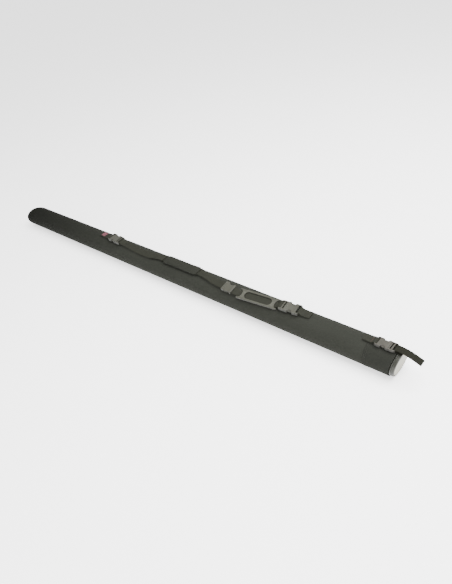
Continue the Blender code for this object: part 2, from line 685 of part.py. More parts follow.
def main():
    clear_scene()
    make_case()
    make_cap()
    rear = place(854.0 * MM, math.radians(5.0), BUCKLE_LIFT, -0.4 * MM, math.radians(-2.7))
    front = place(260.0 * MM, math.radians(7.0), BUCKLE_LIFT, 0.2 * MM, math.radians(4.0), facing=-1)
    closure = place(CLOSURE_AT, 0.0, CLOSURE_LIFT) @ Matrix.Scale(CLOSURE_SIZE, 4)
    for number, frame in ((1, rear), (2, front), (3, closure)):
        make_buckle(number, frame)
    make_tab(1, rear, 48.0)
    make_tab(2, front, 27.0)
    make_tab(3, closure, 32.0, CLOSURE_LIFT, CLOSURE_SIZE, CLOSURE_WEB)
    make_label(rear)
    make_strap(front, rear)
    make_pad()
    make_slider()
    make_grip()
    bpy.context.view_layer.update()


main()
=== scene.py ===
"""Looks for the pole carrying case: fabric cover, webbing, moulded buckles, padded grip sleeve, cap.

Metres, in the CAD part's frame: the tube lies along X, the cap is at +X, the floor is z = 0.
A place along the case is s, the distance from the cover's hem at the cap end. Places, routes and the
buckles' own coordinates are in millimetres, turned outlines in metres.
"""

import math

import bmesh
import bpy
from mathutils import Matrix, Vector, noise


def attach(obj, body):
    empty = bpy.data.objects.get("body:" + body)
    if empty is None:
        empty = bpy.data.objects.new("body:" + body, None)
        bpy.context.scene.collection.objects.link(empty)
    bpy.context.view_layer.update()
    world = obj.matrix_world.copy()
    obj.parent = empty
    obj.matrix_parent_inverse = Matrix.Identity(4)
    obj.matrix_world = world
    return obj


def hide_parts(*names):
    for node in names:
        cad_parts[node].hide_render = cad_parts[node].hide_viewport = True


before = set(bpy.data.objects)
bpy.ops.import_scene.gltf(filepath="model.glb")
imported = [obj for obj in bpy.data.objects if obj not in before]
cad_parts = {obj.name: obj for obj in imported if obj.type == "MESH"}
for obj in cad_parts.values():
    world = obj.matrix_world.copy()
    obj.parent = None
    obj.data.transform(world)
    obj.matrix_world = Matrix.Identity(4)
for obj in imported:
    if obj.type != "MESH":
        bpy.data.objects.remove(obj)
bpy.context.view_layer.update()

MM = 0.001
BLACK = (0.0, 0.0, 0.0)

# The case
COVER_RADIUS = 31.75 * MM
COVER_BORE = COVER_RADIUS - 1.25 * MM
TUBE_RADIUS = 30.15 * MM
TUBE_WALL = 2.0 * MM
CAP_SKIRT = 2.2 * MM
GAP = 0.3 * MM
AXIS_Z = COVER_RADIUS
LENGTH = 1330.0 * MM
MEAN_LENGTH = 1314.0 * MM
TAIL_REACH = 51.5 * MM
X_HEM = (LENGTH - TAIL_REACH) / 2
BAND_LENGTH = 61.0 * MM
PIPING_RADIUS = 1.4 * MM
PIPING_RING = 28.3 * MM
PIPING_AT = MEAN_LENGTH - PIPING_RADIUS

# The closed end leans and the cap end tips: how far a point moves along the tube for its y and its z
LEAN_SIDE = 0.56
LEAN_UP = 0.247
LEAN_START = MEAN_LENGTH - 135.0 * MM
LEAN_RUN = 112.0 * MM
TIP_SIDE = 0.0354
TIP_UP = 0.1417
TIP_START = 4.0 * MM
TIP_RUN = 42.0 * MM

# Webbing; lifts are heights above the cover in millimetres
WEB_WIDTH = 20.0 * MM
WEB_THICKNESS = 1.3 * MM
WEB_STEP = 2.0 * MM
WEB_LIFT = 0.95
PLY_GAP = 0.35
EDGE_ROLL = 0.5 * MM
EDGE_SOFT = 0.14 * MM
ROUTE_STEP = 3.0
TACK = {"length": 1.5 * MM, "pitch": 1.7 * MM}

# Side-release buckles, in millimetres in their own frame: +x from socket to plug
BUCKLE_LIFT = 1.9
SOCKET_END = -34.0
SOCKET_BAR = SOCKET_END + 1.3
PLUG_BAR = 17.0 - 1.3
BAR_HEIGHT = 3.75
LOOP_RADIUS = 2.75
CLOSURE_AT = 16.5
CLOSURE_LIFT = 0.8
CLOSURE_SIZE = 0.86
CLOSURE_WEB = 17.6 * MM

# The padded sleeve on the strap: its ends are places along the case, the rest is in its own frame
GRIP_START = 533.0
GRIP_END = 660.0
GRIP_SEAM = 15.2 * MM
RIB_START = -55.0 * MM
RIB_END = 6.0 * MM
RIB_SIDE = 9.0 * MM
RIB_PITCH = 4.2 * MM
RIB_HEIGHT = 0.6 * MM
FILL_FRAMES = 20
FILL_PRESSURE = 4.0

# Thread spacing of the weaves
CANVAS = 0.62 * MM
SLEEVE_CLOTH = 0.55 * MM
TAPE_CLOTH = 0.45 * MM
LABEL_CLOTH = 0.35 * MM
CORD_PITCH = 1.25 * MM
PICK_PITCH = 0.95 * MM

# Painted shade: the cloth is painted darker from the x given below to the closed end, as light falls off
# along the tube, and the face disc gets a painted dark ring of shade at its rim
FAR_END_SHADE = 0.42
FAR_SHADE_START_X = -0.2
RIM_SHADE_TONE = (0.012, 0.012, 0.009)
FACE_SHADE_RIM = 25.6 * MM
RIM_SHADE_BLUR = 0.15 * MM

# A stitch: (place along it, rise) and the thread's section, in thread thicknesses
STITCH_RISE = ((0.0, -0.3), (0.16, 0.45), (0.5, 0.72), (0.84, 0.45), (1.0, -0.3))
STITCH_SECTION = ((1.0, 0.0), (0.5, 0.75), (-0.5, 0.75), (-1.0, 0.0), (0.0, -0.9))

BOX_FACES = ((0, 1, 3, 2), (4, 6, 7, 5), (0, 4, 5, 1), (2, 3, 7, 6), (0, 2, 6, 4), (1, 5, 7, 3))


# Places


def place(s, roll=0.0, lift=0.0, offset=0.0, yaw=0.0, facing=1):
    """The frame of a piece lying on the cover, as in the CAD part.

    S, lift and offset are in millimetres, roll and yaw in degrees; facing -1 turns the piece end for end.
    """
    heading = math.radians(yaw) + (0.0 if facing > 0 else math.pi)
    return (
        Matrix.Translation((X_HEM - s * MM, 0.0, AXIS_Z))
        @ Matrix.Rotation(math.radians(roll), 4, "X")
        @ Matrix.Translation((0.0, offset * MM, COVER_RADIUS + lift * MM))
        @ Matrix.Rotation(heading, 4, "Z")
    )


def turns(count):
    """Angles evenly round a circle."""
    return [2.0 * math.pi * i / count for i in range(count)]


def signed_power(value, power):
    return math.copysign(abs(value) ** power, value)


# Materials


class Shader:
    """A small helper that builds a material's nodes."""

    def __init__(self, name):
        self.material = bpy.data.materials.new(name)
        self.material.use_nodes = True
        self.tree = self.material.node_tree
        self.surface = self.tree.nodes["Principled BSDF"]

    def node(self, kind, inputs=None, **settings):
        made = self.tree.nodes.new(kind)
        for key, value in settings.items():
            setattr(made, key, value)
        for key, value in (inputs or {}).items():
            self.put(made.inputs[key], value)
        return made

    def put(self, socket, value):
        if isinstance(value, bpy.types.NodeSocket):
            self.tree.links.new(value, socket)
        else:
            socket.default_value = value

    def calc(self, operation, a, b=0.0, c=0.0):
        return self.node("ShaderNodeMath", {0: a, 1: b, 2: c}, operation=operation).outputs[0]

    def noise(self, where, scale, detail=3.0, roughness=0.5):
        made = self.node(
            "ShaderNodeTexNoise",
            {"Vector": where, "Scale": scale, "Detail": detail, "Roughness": roughness},
        )
        return made.outputs["Fac"]

    def ramp(self, value, low, high, out_low=0.0, out_high=1.0):
        made = self.node("ShaderNodeMapRange", {0: value, 1: low, 2: high, 3: out_low, 4: out_high})
        return made.outputs[0]

    def mix(self, factor, a, b):
        made = self.node("ShaderNodeMix", data_type="RGBA")
        self.put(made.inputs[0], factor)
        for socket, value in ((made.inputs[6], a), (made.inputs[7], b)):
            self.put(socket, (*value, 1.0) if isinstance(value, tuple) and len(value) == 3 else value)
        return made.outputs[2]

    def bump(self, height, distance, strength=1.0, normal=None):
        inputs = {"Height": height, "Distance": distance, "Strength": strength}
        if normal is not None:
            inputs["Normal"] = normal
        return self.node("ShaderNodeBump", inputs).outputs[0]

    def finish(self, **inputs):
        for key, value in inputs.items():
            label = key.replace("_", " ").title().replace("Ior", "IOR")
            if isinstance(value, tuple) and len(value) == 3:
                value = (*value, 1.0)
            self.put(self.surface.inputs[label], value)
        return self.material

    def position(self):
        return self.node("ShaderNodeTexCoord").outputs["Object"]

    def split(self, vector):
        return self.node("ShaderNodeSeparateXYZ", {0: vector}).outputs

    def along_tube(self):
        """(distance round the tube, distance along it), in metres."""
        x, y, z = self.split(self.position())
        angle = self.calc("ARCTAN2", y, self.calc("SUBTRACT", z, AXIS_Z))
        return self.calc("MULTIPLY", angle, COVER_RADIUS), x

    def along_piece(self):
        """The piece's own flat coordinates, in metres, from its UV map."""
        u, v, _ = self.split(self.node("ShaderNodeTexCoord").outputs["UV"])
        return u, v

    def painted_far_end_shade(self, colour):
        """The same colour, painted darker towards the closed end: painted shade for light that falls off
        along the tube.
        """
        along = self.split(self.position())[0]
        return self.mix(self.ramp(along, -LENGTH / 2, FAR_SHADE_START_X, FAR_END_SHADE, 1.0), BLACK, colour)

    def plain_weave(self, u, v, pitch):
        """Height from 0 to 1 of threads that pass over and under each other."""
        a = self.calc("DIVIDE", u, pitch)
        b = self.calc("DIVIDE", v, pitch)
        turn = self.calc("ADD", self.calc("FLOOR", a), self.calc("FLOOR", b))
        over = self.calc("PINGPONG", turn, 1.0)
        across = self.calc("SINE", self.calc("MULTIPLY", self.calc("FRACT", a), math.pi))
        along = self.calc("SINE", self.calc("MULTIPLY", self.calc("FRACT", b), math.pi))
        warp = self.calc("MULTIPLY", across, self.calc("MULTIPLY_ADD", along, 0.45, 0.55))
        weft = self.calc("MULTIPLY", along, self.calc("MULTIPLY_ADD", across, 0.45, 0.55))
        return self.calc("ADD", self.calc("MULTIPLY", warp, over),
                         self.calc("MULTIPLY", weft, self.calc("SUBTRACT", 1.0, over)))

    def ribbed_weave(self, u, v):
        """Height from 0 to 1 of narrow webbing: lengthwise cords crossed by slanting picks."""
        column = self.calc("DIVIDE", u, CORD_PITCH)
        cord = self.calc("SINE", self.calc("MULTIPLY", self.calc("FRACT", column), math.pi))
        lean = self.calc("MULTIPLY", self.calc("PINGPONG", column, 1.0), 0.9)
        pick = self.calc("ADD", self.calc("DIVIDE", v, PICK_PITCH), lean)
        ridge = self.calc("SINE", self.calc("MULTIPLY", self.calc("FRACT", pick), math.pi))
        return self.calc("MULTIPLY", self.calc("MULTIPLY_ADD", cord, 0.6, 0.4),
                         self.calc("MULTIPLY_ADD", ridge, 0.5, 0.5))


def fabric_material(name, dark, light, pitch, flat=False):
    """Woven nylon: threads at their real pitch, faint slubs, clouded colour and soft folds.

    The weave follows the tube, or the piece's own flat coordinates where it is flat.
    """
    shader = Shader(name)
    u, v = shader.along_piece() if flat else shader.along_tube()
    where = shader.position()
    weave = shader.plain_weave(u, v, pitch)
    cloudy = shader.noise(where, 14.0, 4.0, 0.55)
    slub = shader.noise(where, 420.0, 2.0)
    tone = shader.calc("ADD", shader.calc("MULTIPLY", weave, 0.45), shader.calc("MULTIPLY", slub, 0.35))
    tone = shader.calc("ADD", tone, shader.calc("MULTIPLY", cloudy, 0.35))
    # Painted shade: the colour darkens towards the closed end, for light falling off along the tube.
    colour = shader.painted_far_end_shade(shader.mix(shader.ramp(tone, 0.25, 0.95), dark, light))
    soft = shader.bump(shader.noise(where, 38.0, 2.0), 0.7 * MM, 0.5)
    normal = shader.bump(weave, 0.16 * MM, 0.6, soft)
    return shader.finish(base_color=colour, roughness=shader.ramp(cloudy, 0.3, 0.7, 0.79, 0.89),
                         specular_ior_level=0.03, normal=normal)


def webbing_material(name, dark, light):
    """Narrow nylon webbing: ribbed weave, a cloudy tone and fine fuzz."""
    shader = Shader(name)
    u, v = shader.along_piece()
    where = shader.position()
    weave = shader.ribbed_weave(u, v)
    cloudy = shader.noise(where, 60.0, 3.0)
    fuzz = shader.noise(where, 900.0, 2.0)
    tone = shader.calc("ADD", shader.calc("MULTIPLY", weave, 0.6), shader.calc("MULTIPLY", cloudy, 0.3))
    tone = shader.calc("MULTIPLY_ADD", fuzz, 0.2, tone)
    colour = shader.mix(shader.ramp(tone, 0.2, 1.0), dark, light)
    normal = shader.bump(weave, 0.28 * MM, 0.8)
    return shader.finish(base_color=colour, roughness=0.8, specular_ior_level=0.06, normal=normal)


def plastic_material(name, dark, light, roughness, specular=0.5, side_shade=1.0, rim=None):
    """Moulded plastic: faint flow marks, a fine spark-eroded grain, edges rubbed lighter and smoother.

    The side share darkens faces that do not face up, painted shade for light falling from above; rim is the
    radius beyond which a disc is painted dark, painted shade standing in for the shaded inner wall of a
    recessed rim.
    """
    shader = Shader(name)
    where = shader.position()
    flow = shader.noise(where, 55.0, 3.0, 0.6)
    fine = shader.noise(where, 2600.0, 2.0)
    scuff = shader.noise(where, 300.0, 5.0, 0.7)
    edge = shader.ramp(shader.node("ShaderNodeNewGeometry").outputs["Pointiness"], 0.52, 0.60)
    worn = shader.calc("MULTIPLY", edge, shader.ramp(scuff, 0.35, 0.7))
    base = shader.mix(shader.ramp(flow, 0.3, 0.7), dark, light)
    rubbed = tuple(min(1.0, c * 1.5 + 0.02) for c in light)
    colour = shader.mix(worn, base, rubbed)
    # Painted shade: faces that do not face up are darkened, as though lit from above.
    if side_shade < 1.0:
        facing = shader.split(shader.node("ShaderNodeTexCoord").outputs["Normal"])[2]
        colour = shader.mix(shader.ramp(facing, 0.35, 0.9, side_shade, 1.0), BLACK, colour)
    # Painted shade: beyond the rim radius the disc is painted dark, standing in for the shaded inner wall of
    # a recessed rim.
    if rim:
        _, y, z = shader.split(where)
        across = shader.calc("POWER", y, 2.0)
        up = shader.calc("POWER", shader.calc("SUBTRACT", z, AXIS_Z), 2.0)
        radius = shader.calc("SQRT", shader.calc("ADD", across, up))
        colour = shader.mix(shader.ramp(radius, rim, rim + RIM_SHADE_BLUR), colour, RIM_SHADE_TONE)
    rough = shader.calc("ADD", shader.ramp(scuff, 0.3, 0.75, roughness - 0.07, roughness + 0.08),
                        shader.calc("MULTIPLY", worn, -0.08))
    normal = shader.bump(fine, 0.05 * MM, 0.5)
    return shader.finish(base_color=colour, roughness=rough, specular_ior_level=specular, normal=normal)


def foam_material(name, dark, light):
    """Open-cell foam."""
    shader = Shader(name)
    where = shader.position()
    cells = shader.node("ShaderNodeTexVoronoi", {"Vector": where, "Scale": 900.0}).outputs["Distance"]
    colour = shader.mix(shader.ramp(cells, 0.0, 0.7), dark, light)
    return shader.finish(base_color=colour, roughness=0.95, specular_ior_level=0.15,
                         normal=shader.bump(cells, 0.2 * MM, 0.7))


def metal_material(name, colour):
    """Plated metal, lightly scuffed."""
    shader = Shader(name)
    where = shader.position()
    scuff = shader.noise(where, 900.0, 4.0, 0.6)
    tone = shader.mix(shader.ramp(scuff, 0.3, 0.7), tuple(c * 0.7 for c in colour), colour)
    return shader.finish(base_color=tone, metallic=1.0, roughness=shader.ramp(scuff, 0.3, 0.7, 0.22, 0.42),
                         normal=shader.bump(scuff, 0.03 * MM, 0.4))


def thread_material(name, dark, light):
    """Spun thread: a fine mottle and a soft gloss."""
    shader = Shader(name)
    where = shader.position()
    fibre = shader.noise(where, 1500.0, 3.0, 0.6)
    colour = shader.mix(shader.ramp(fibre, 0.3, 0.7), dark, light)
    return shader.finish(base_color=colour, roughness=0.65, specular_ior_level=0.3,
                         normal=shader.bump(fibre, 0.06 * MM, 0.6))


# Building pieces


def finish_piece(obj, look, body, stands_for=()):
    """Gives a piece its look and its body, and hides the CAD nodes that it stands for."""
    obj.data.materials.clear()
    obj.data.materials.append(look)
    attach(obj, body)
    if stands_for:
        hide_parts(*stands_for)
    return obj


def mesh_object(name, points, faces, corner_uvs=None, sharp=50.0):
    """A mesh from points and faces, turned outwards, with flat coordinates in metres where they are given."""
    mesh = bpy.data.meshes.new(name)
    mesh.from_pydata([tuple(p) for p in points], [], faces)
    if corner_uvs is not None:
        layer = mesh.uv_layers.new(name="UVMap")
        for loop, uv in zip(layer.data, corner_uvs):
            loop.uv = uv
    bm = bmesh.new()
    bm.from_mesh(mesh)
    bmesh.ops.recalc_face_normals(bm, faces=bm.faces[:])
    bm.to_mesh(mesh)
    bm.free()
    mesh.shade_smooth()
    mesh.set_sharp_from_angle(angle=math.radians(sharp))
    obj = bpy.data.objects.new(name, mesh)
    bpy.context.scene.collection.objects.link(obj)
    return obj


def loft(name, rings, closed=False, sharp=50.0):
    """A body through closed rings of points; its ends are capped unless the rings run round to the first."""
    count = len(rings[0])
    points = [p for ring in rings for p in ring]
    faces = []
    uvs = []
    run = 0.0
    spans = len(rings) if closed else len(rings) - 1
    for k in range(spans):
        first = rings[k]
        second = rings[(k + 1) % len(rings)]
        if closed:
            step = (second[0] - first[0]).length
        else:
            step = (sum(second, Vector()) / count - sum(first, Vector()) / count).length
        a = k * count
        b = ((k + 1) % len(rings)) * count
        around = 0.0
        for i in range(count):
            j = (i + 1) % count
            width = (first[j] - first[i]).length
            faces.append((a + i, a + j, b + j, b + i))
            uvs += [(around, run), (around + width, run), (around + width, run + step), (around, run + step)]
            around += width
        run += step
    if not closed:
        faces.append(tuple(range(count))[::-1])
        faces.append(tuple(range(len(points) - count, len(points))))
        uvs += [(0.0, 0.0)] * (2 * count)
    return mesh_object(name, points, faces, uvs, sharp)


def smooth_path(stations, step):
    """(point, across) pairs about every step along a smooth curve through the given ones."""
    found = []
    last = len(stations) - 1
    for k in range(last):
        near = [stations[min(max(k + d, 0), last)] for d in (-1, 0, 1, 2)]
        length = (near[2][0] - near[1][0]).length
        count = max(1, round(length / step))
        for i in range(count):
            t = i / count
            weights = (
                -0.5 * t + t * t - 0.5 * t**3, 1.0 - 2.5 * t * t + 1.5 * t**3,
                0.5 * t + 2.0 * t * t - 1.5 * t**3, -0.5 * t * t + 0.5 * t**3,
            )
            found.append(tuple(
                sum((w * item[j] for w, item in zip(weights, near)), Vector()) for j in (0, 1)
            ))
    return found + [stations[last]]


def webbing(name, stations, round_ends=0.0, droop=0.0, width=WEB_WIDTH):
    """Woven webbing: soft rolled edges that droop a little, and a faint waver along its length.

    Round_ends is the radius of the corners at its ends.
    """
    path = smooth_path(stations, WEB_STEP)
    run = [0.0]
    for before, after in zip(path, path[1:]):
        run.append(run[-1] + (after[0] - before[0]).length)
    rings = []
    half = WEB_THICKNESS / 2
    for k, (point, across) in enumerate(path):
        ahead = path[min(k + 1, len(path) - 1)][0] - path[max(k - 1, 0)][0]
        across = across.normalized()
        up = ahead.normalized().cross(across).normalized()
        side = width / 2 + 0.08 * MM * noise.noise(Vector((run[k] * 90.0, len(path), 0.0)))
        to_end = min(run[k], run[-1] - run[k])
        if to_end < round_ends:
            side -= round_ends - math.sqrt(max(0.0, round_ends**2 - (round_ends - to_end) ** 2))
        flat = side - EDGE_ROLL
        edge = side - EDGE_SOFT
        lower = [(-flat * f, -half) for f in (1.0, 0.5, 0.0, -0.5, -1.0)]
        lower += [(edge, -0.55 * half), (side, 0.0), (edge, 0.55 * half)]
        outline = lower + [(-v, -w) for v, w in lower]
        rings.append([point + across * v + up * (w - droop * (v / side) ** 2) for v, w in outline])
    return loft(name, rings, sharp=70.0)


def along_run(run, distance):
    """The point and the normal at a distance along a thread line."""
    for a, b in zip(run, run[1:]):
        step = (b[0] - a[0]).length
        if distance <= step or b is run[-1]:
            t = min(1.0, distance / step) if step else 0.0
            return a[0].lerp(b[0], t), a[1].lerp(b[1], t).normalized()
        distance -= step


def stitches(name, runs, look, body, slot="webbing", length=2.1 * MM, pitch=3.0 * MM, size=0.36 * MM):
    """Rows of thread: each run is a list of (point, normal) pairs that the thread follows."""
    points = []
    faces = []
    sides = len(STITCH_SECTION)
    for run in runs:
        total = sum((b[0] - a[0]).length for a, b in zip(run, run[1:]))
        count = max(1, int(total / pitch))
        spacing = total / count
        for k in range(count):
            start, normal = along_run(run, spacing * k + (spacing - length) / 2)
            end, _ = along_run(run, spacing * k + (spacing + length) / 2)
            heading = end - start
            side = heading.normalized().cross(normal)
            base = len(points)
            for f, rise in STITCH_RISE:
                middle = start + heading * f + normal * size * rise
                thick = size * (0.30 if f in (0.0, 1.0) else 0.5)
                points += [middle + side * a * thick + normal * b * thick for a, b in STITCH_SECTION]
            for ring in range(len(STITCH_RISE) - 1):
                for i in range(sides):
                    a = base + ring * sides + i
                    b = base + ring * sides + (i + 1) % sides
                    faces.append((a, b, b + sides, a + sides))
            faces.append(tuple(range(base, base + sides))[::-1])
            faces.append(tuple(range(len(points) - sides, len(points))))
    made = mesh_object(name, points, faces, None, 80.0)
    return finish_piece(made, look, body)


def smooth_step(t):
    t = min(max(t, 0.0), 1.0)
    return t * t * (3.0 - 2.0 * t)


def round_tube(s, angle, radius):
    """A point on a circle about the tube, tipped as the cap end is or leaning as the closed end does."""
    y = radius * math.sin(angle)
    z = radius * math.cos(angle)
    tip = 1.0 - smooth_step((s - TIP_START) / TIP_RUN)
    lean = smooth_step((s - LEAN_START) / LEAN_RUN)
    x = X_HEM - s + tip * (TIP_SIDE * y + TIP_UP * z) + lean * (LEAN_SIDE * y + LEAN_UP * z)
    return Vector((x, y, AXIS_Z + z))


def skin(name, profile, ripple):
    """A turned fabric shape from a closed outline of (s, radius, looseness).

    Ripple lets the loose cloth stand unevenly off the tube.
    """
    rings = []
    for angle in turns(144):
        ring = []
        for s, radius, loose in profile:
            where = Vector((s * 11.0, math.sin(angle) * 1.3, math.cos(angle) * 1.3))
            lift = ripple * loose * (0.6 * noise.noise(where) + 0.4 * noise.noise(where * 3.1))
            ring.append(round_tube(s, angle, radius + lift))
        rings.append(ring)
    return loft(name, rings, closed=True)


def seam_run(s, radius, steps=96):
    """A thread line round the tube at s."""
    run = []
    for angle in turns(steps) + [2.0 * math.pi]:
        run.append((round_tube(s, angle, radius), Vector((0.0, math.sin(angle), math.cos(angle)))))
    return run


# Cover


def make_sleeve():
    """The woven sleeve, from the end band's seam to where it turns in behind the piping."""
    start = BAND_LENGTH + 5.0 * MM
    reach = MEAN_LENGTH - 11.0 * MM
    count = 150
    profile = [
        (BAND_LENGTH + 0.3 * MM, COVER_BORE, 0.0), (BAND_LENGTH + 0.3 * MM, COVER_RADIUS - 0.25 * MM, 0.0),
        (BAND_LENGTH + 1.6 * MM, COVER_RADIUS + 0.05 * MM, 0.3), (start, COVER_RADIUS, 1.0),
    ]
    profile += [(start + (reach - start) * k / count, COVER_RADIUS, 1.0) for k in range(1, count + 1)]
    turned_in = ((6.4, 0.05, 0.7), (3.8, 0.25, 0.4), (2.0, 0.75, 0.2), (0.8, 1.7, 0.0), (1.6, 2.4, 0.0))
    for back, inset, loose in turned_in:
        profile.append((PIPING_AT - back * MM, COVER_RADIUS - inset * MM, loose))
    profile.append((PIPING_AT - 5.4 * MM, COVER_BORE, 0.0))
    finish_piece(skin("sleeve_fabric", profile, 0.30 * MM), COVER, "case", ["cover_sleeve"])


def make_end_band():
    """The separate band at the cap end, its folded edge standing a little over the sleeve."""
    profile = [(2.2, -0.1, 0.0), (3.4, 0.12, 0.3)] + [(6.0 + 3.8 * k, 0.10, 1.0) for k in range(14)]
    for back, lift, loose in ((3.2, 0.22, 0.4), (1.5, 0.55, 0.1), (0.4, 0.45, 0.0), (0.0, 0.1, 0.0)):
        profile.append((BAND_LENGTH / MM - back, lift, loose))
    outline = [(s * MM, COVER_RADIUS + lift * MM, loose) for s, lift, loose in profile]
    outline = [(2.2 * MM, COVER_BORE, 0.0)] + outline + [(BAND_LENGTH, COVER_BORE, 0.0)]
    band = skin("end_band_fabric", outline, 0.22 * MM)
    finish_piece(band, BAND, "case", ["cover_end_band"])


def make_hem():
    """The tape bound round the sleeve's mouth."""
    profile = [(1.9, -0.1, 0.0), (1.5, 0.25, 0.2), (0.9, 0.32, 0.3), (0.3, 0.1, 0.2), (0.0, -0.4, 0.0)]
    outline = [(s * MM, COVER_RADIUS + lift * MM, loose) for s, lift, loose in profile]
    outline = [(1.9 * MM, COVER_BORE, 0.0)] + outline + [(0.0, COVER_BORE, 0.0)]
    finish_piece(skin("hem_tape", outline, 0.2 * MM), TAPE, "case", ["hem_binding"])


def make_closed_end():
    """The corded piping and the round panel, faintly creased."""
    rings = []
    for angle in turns(144):
        ring = []
        for turn in turns(10):
            bulge = PIPING_RADIUS * (1.0 + 0.05 * math.sin(40.0 * angle + turn))
            s = PIPING_AT + bulge * math.cos(turn)
            ring.append(round_tube(s, angle, PIPING_RING + bulge * math.sin(turn)))
        rings.append(ring)
    piping = loft("end_piping_cord", rings, closed=True)
    finish_piece(piping, TAPE, "case", ["end_piping"])

    panel_radius = PIPING_RING - PIPING_RADIUS - GAP
    back = [(-0.75, 0.03), (-0.75, 0.5), (-0.75, 1.0), (0.45, 1.0)]
    front = [(0.95, 0.985), (0.7, 0.93), (0.95, 0.86), (1.1, 0.6), (1.25, 0.3), (1.3, 0.03)]
    rings = []
    for angle in turns(96):
        ring = []
        for s, radius in back + front:
            where = Vector((math.sin(angle) * radius * 2.2, math.cos(angle) * radius * 2.2, 4.0))
            crease = 0.25 * noise.noise(where) if (s, radius) in front else 0.0
            ring.append(round_tube(PIPING_AT + (s + crease) * MM, angle, panel_radius * radius))
        rings.append(ring)
    panel = loft("end_panel_fabric", rings, closed=True)
    finish_piece(panel, COVER, "case", ["end_panel"])


def make_cover_seams():
    """Two rows of stitches on the end band, one on the hem and one before the piping."""
    for name, rows in (
        ("seam_stitches", [seam_run(s * MM, COVER_RADIUS + 0.34 * MM, 110) for s in (54.2, 57.6)]),
        ("hem_stitches", [seam_run(3.6 * MM, COVER_RADIUS + 0.2 * MM)]),
        ("closing_stitches", [seam_run(PIPING_AT - 5.6 * MM, COVER_RADIUS - 0.35 * MM)]),
    ):
        stitches(name, rows, THREAD, "case", "cover_fabric")


# Webbing


def smooth_between(stations, s):
    """A smooth value of each column of a route table at s."""
    rows = [row for row in stations if row[0] <= s]
    i = min(max(len(rows) - 1, 0), len(stations) - 2)
    before = stations[max(i - 1, 0)]
    low = stations[i]
    high = stations[i + 1]
    after = stations[min(i + 2, len(stations) - 1)]
    span = high[0] - low[0]
    t = min(max((s - low[0]) / span, 0.0), 1.0)
    values = []
    for k in range(1, len(low)):
        slope_low = (high[k] - before[k]) / (high[0] - before[0]) * span
        slope_high = (after[k] - low[k]) / (after[0] - low[0]) * span
        values.append(
            (2 * t**3 - 3 * t**2 + 1) * low[k] + (t**3 - 2 * t**2 + t) * slope_low
            + (3 * t**2 - 2 * t**3) * high[k] + (t**3 - t**2) * slope_high
        )
    return values


def route(stations):
    """(point, across) pairs along a table of s, roll, offset and lift."""
    start, end = stations[0][0], stations[-1][0]
    count = round((end - start) / ROUTE_STEP)
    found = []
    for k in range(count + 1):
        s = start + (end - start) * k / count
        roll, offset, lift = smooth_between(stations, s)
        where = place(s, roll, lift, offset)
        found.append((where.translation.copy(), where.col[1].to_3d()))
    return found


def in_frame(where, path, flip=1.0):
    """(point, across) pairs from (x, z) points in mm in the frame of a buckle."""
    across = where.col[1].to_3d() * flip
    return [(where @ Vector((x * MM, 0.0, z * MM)), across.copy()) for x, z in path]


def arc(centre, radius, start, end, steps):
    """Points on a circle, from one angle in degrees to another."""
    found = []
    for k in range(steps + 1):
        angle = math.radians(start + (end - start) * k / steps)
        found.append((centre[0] + radius * math.cos(angle), centre[1] + radius * math.sin(angle)))
    return found


def end_loop(where, flip):
    """Webbing round a plug's end bar, from its folded-under end to the top of the loop."""
    sewn = WEB_LIFT - BUCKLE_LIFT
    base = BAR_HEIGHT - LOOP_RADIUS
    crest = BAR_HEIGHT + LOOP_RADIUS
    below = [(6.0, sewn), (4.9, sewn + 0.1), (3.4, (sewn + base) / 2), (1.6, base - 0.2)]
    above = [(2.2, crest - 0.5), (4.3, crest - 2.1), (6.3, crest - 4.0)]
    loop = arc((PLUG_BAR, BAR_HEIGHT), LOOP_RADIUS, 270.0, 90.0, 8)
    path = [(PLUG_BAR + x, z) for x, z in below] + loop + [(PLUG_BAR + x, z) for x, z in above]
    return in_frame(where, path, flip)


def cross_box(where, x_range, half, high):
    """Thread runs of a sewn square with a cross in it, on a tab's top."""
    inset = 1.6
    x0, x1 = x_range[0] + inset, x_range[1] - inset
    y = half - inset
    normal = where.col[2].to_3d()

    def at(a, b):
        return where @ Vector((a * MM, b * MM, high * MM)), normal

    corners = [at(x0, -y), at(x1, -y), at(x1, y), at(x0, y), at(x0, -y)]
    return [corners, [at(x0, -y), at(x1, y)], [at(x0, y), at(x1, -y)]]


def bar_tack(where, x, half, high, rows=3):
    """Close rows of thread across the webbing."""
    normal = where.col[2].to_3d()
    runs = []
    for k in range(rows):
        along = (x + 0.9 * k) * MM
        runs.append([(where @ Vector((along, y * MM, high * MM)), normal) for y in (-half, half)])
    return runs


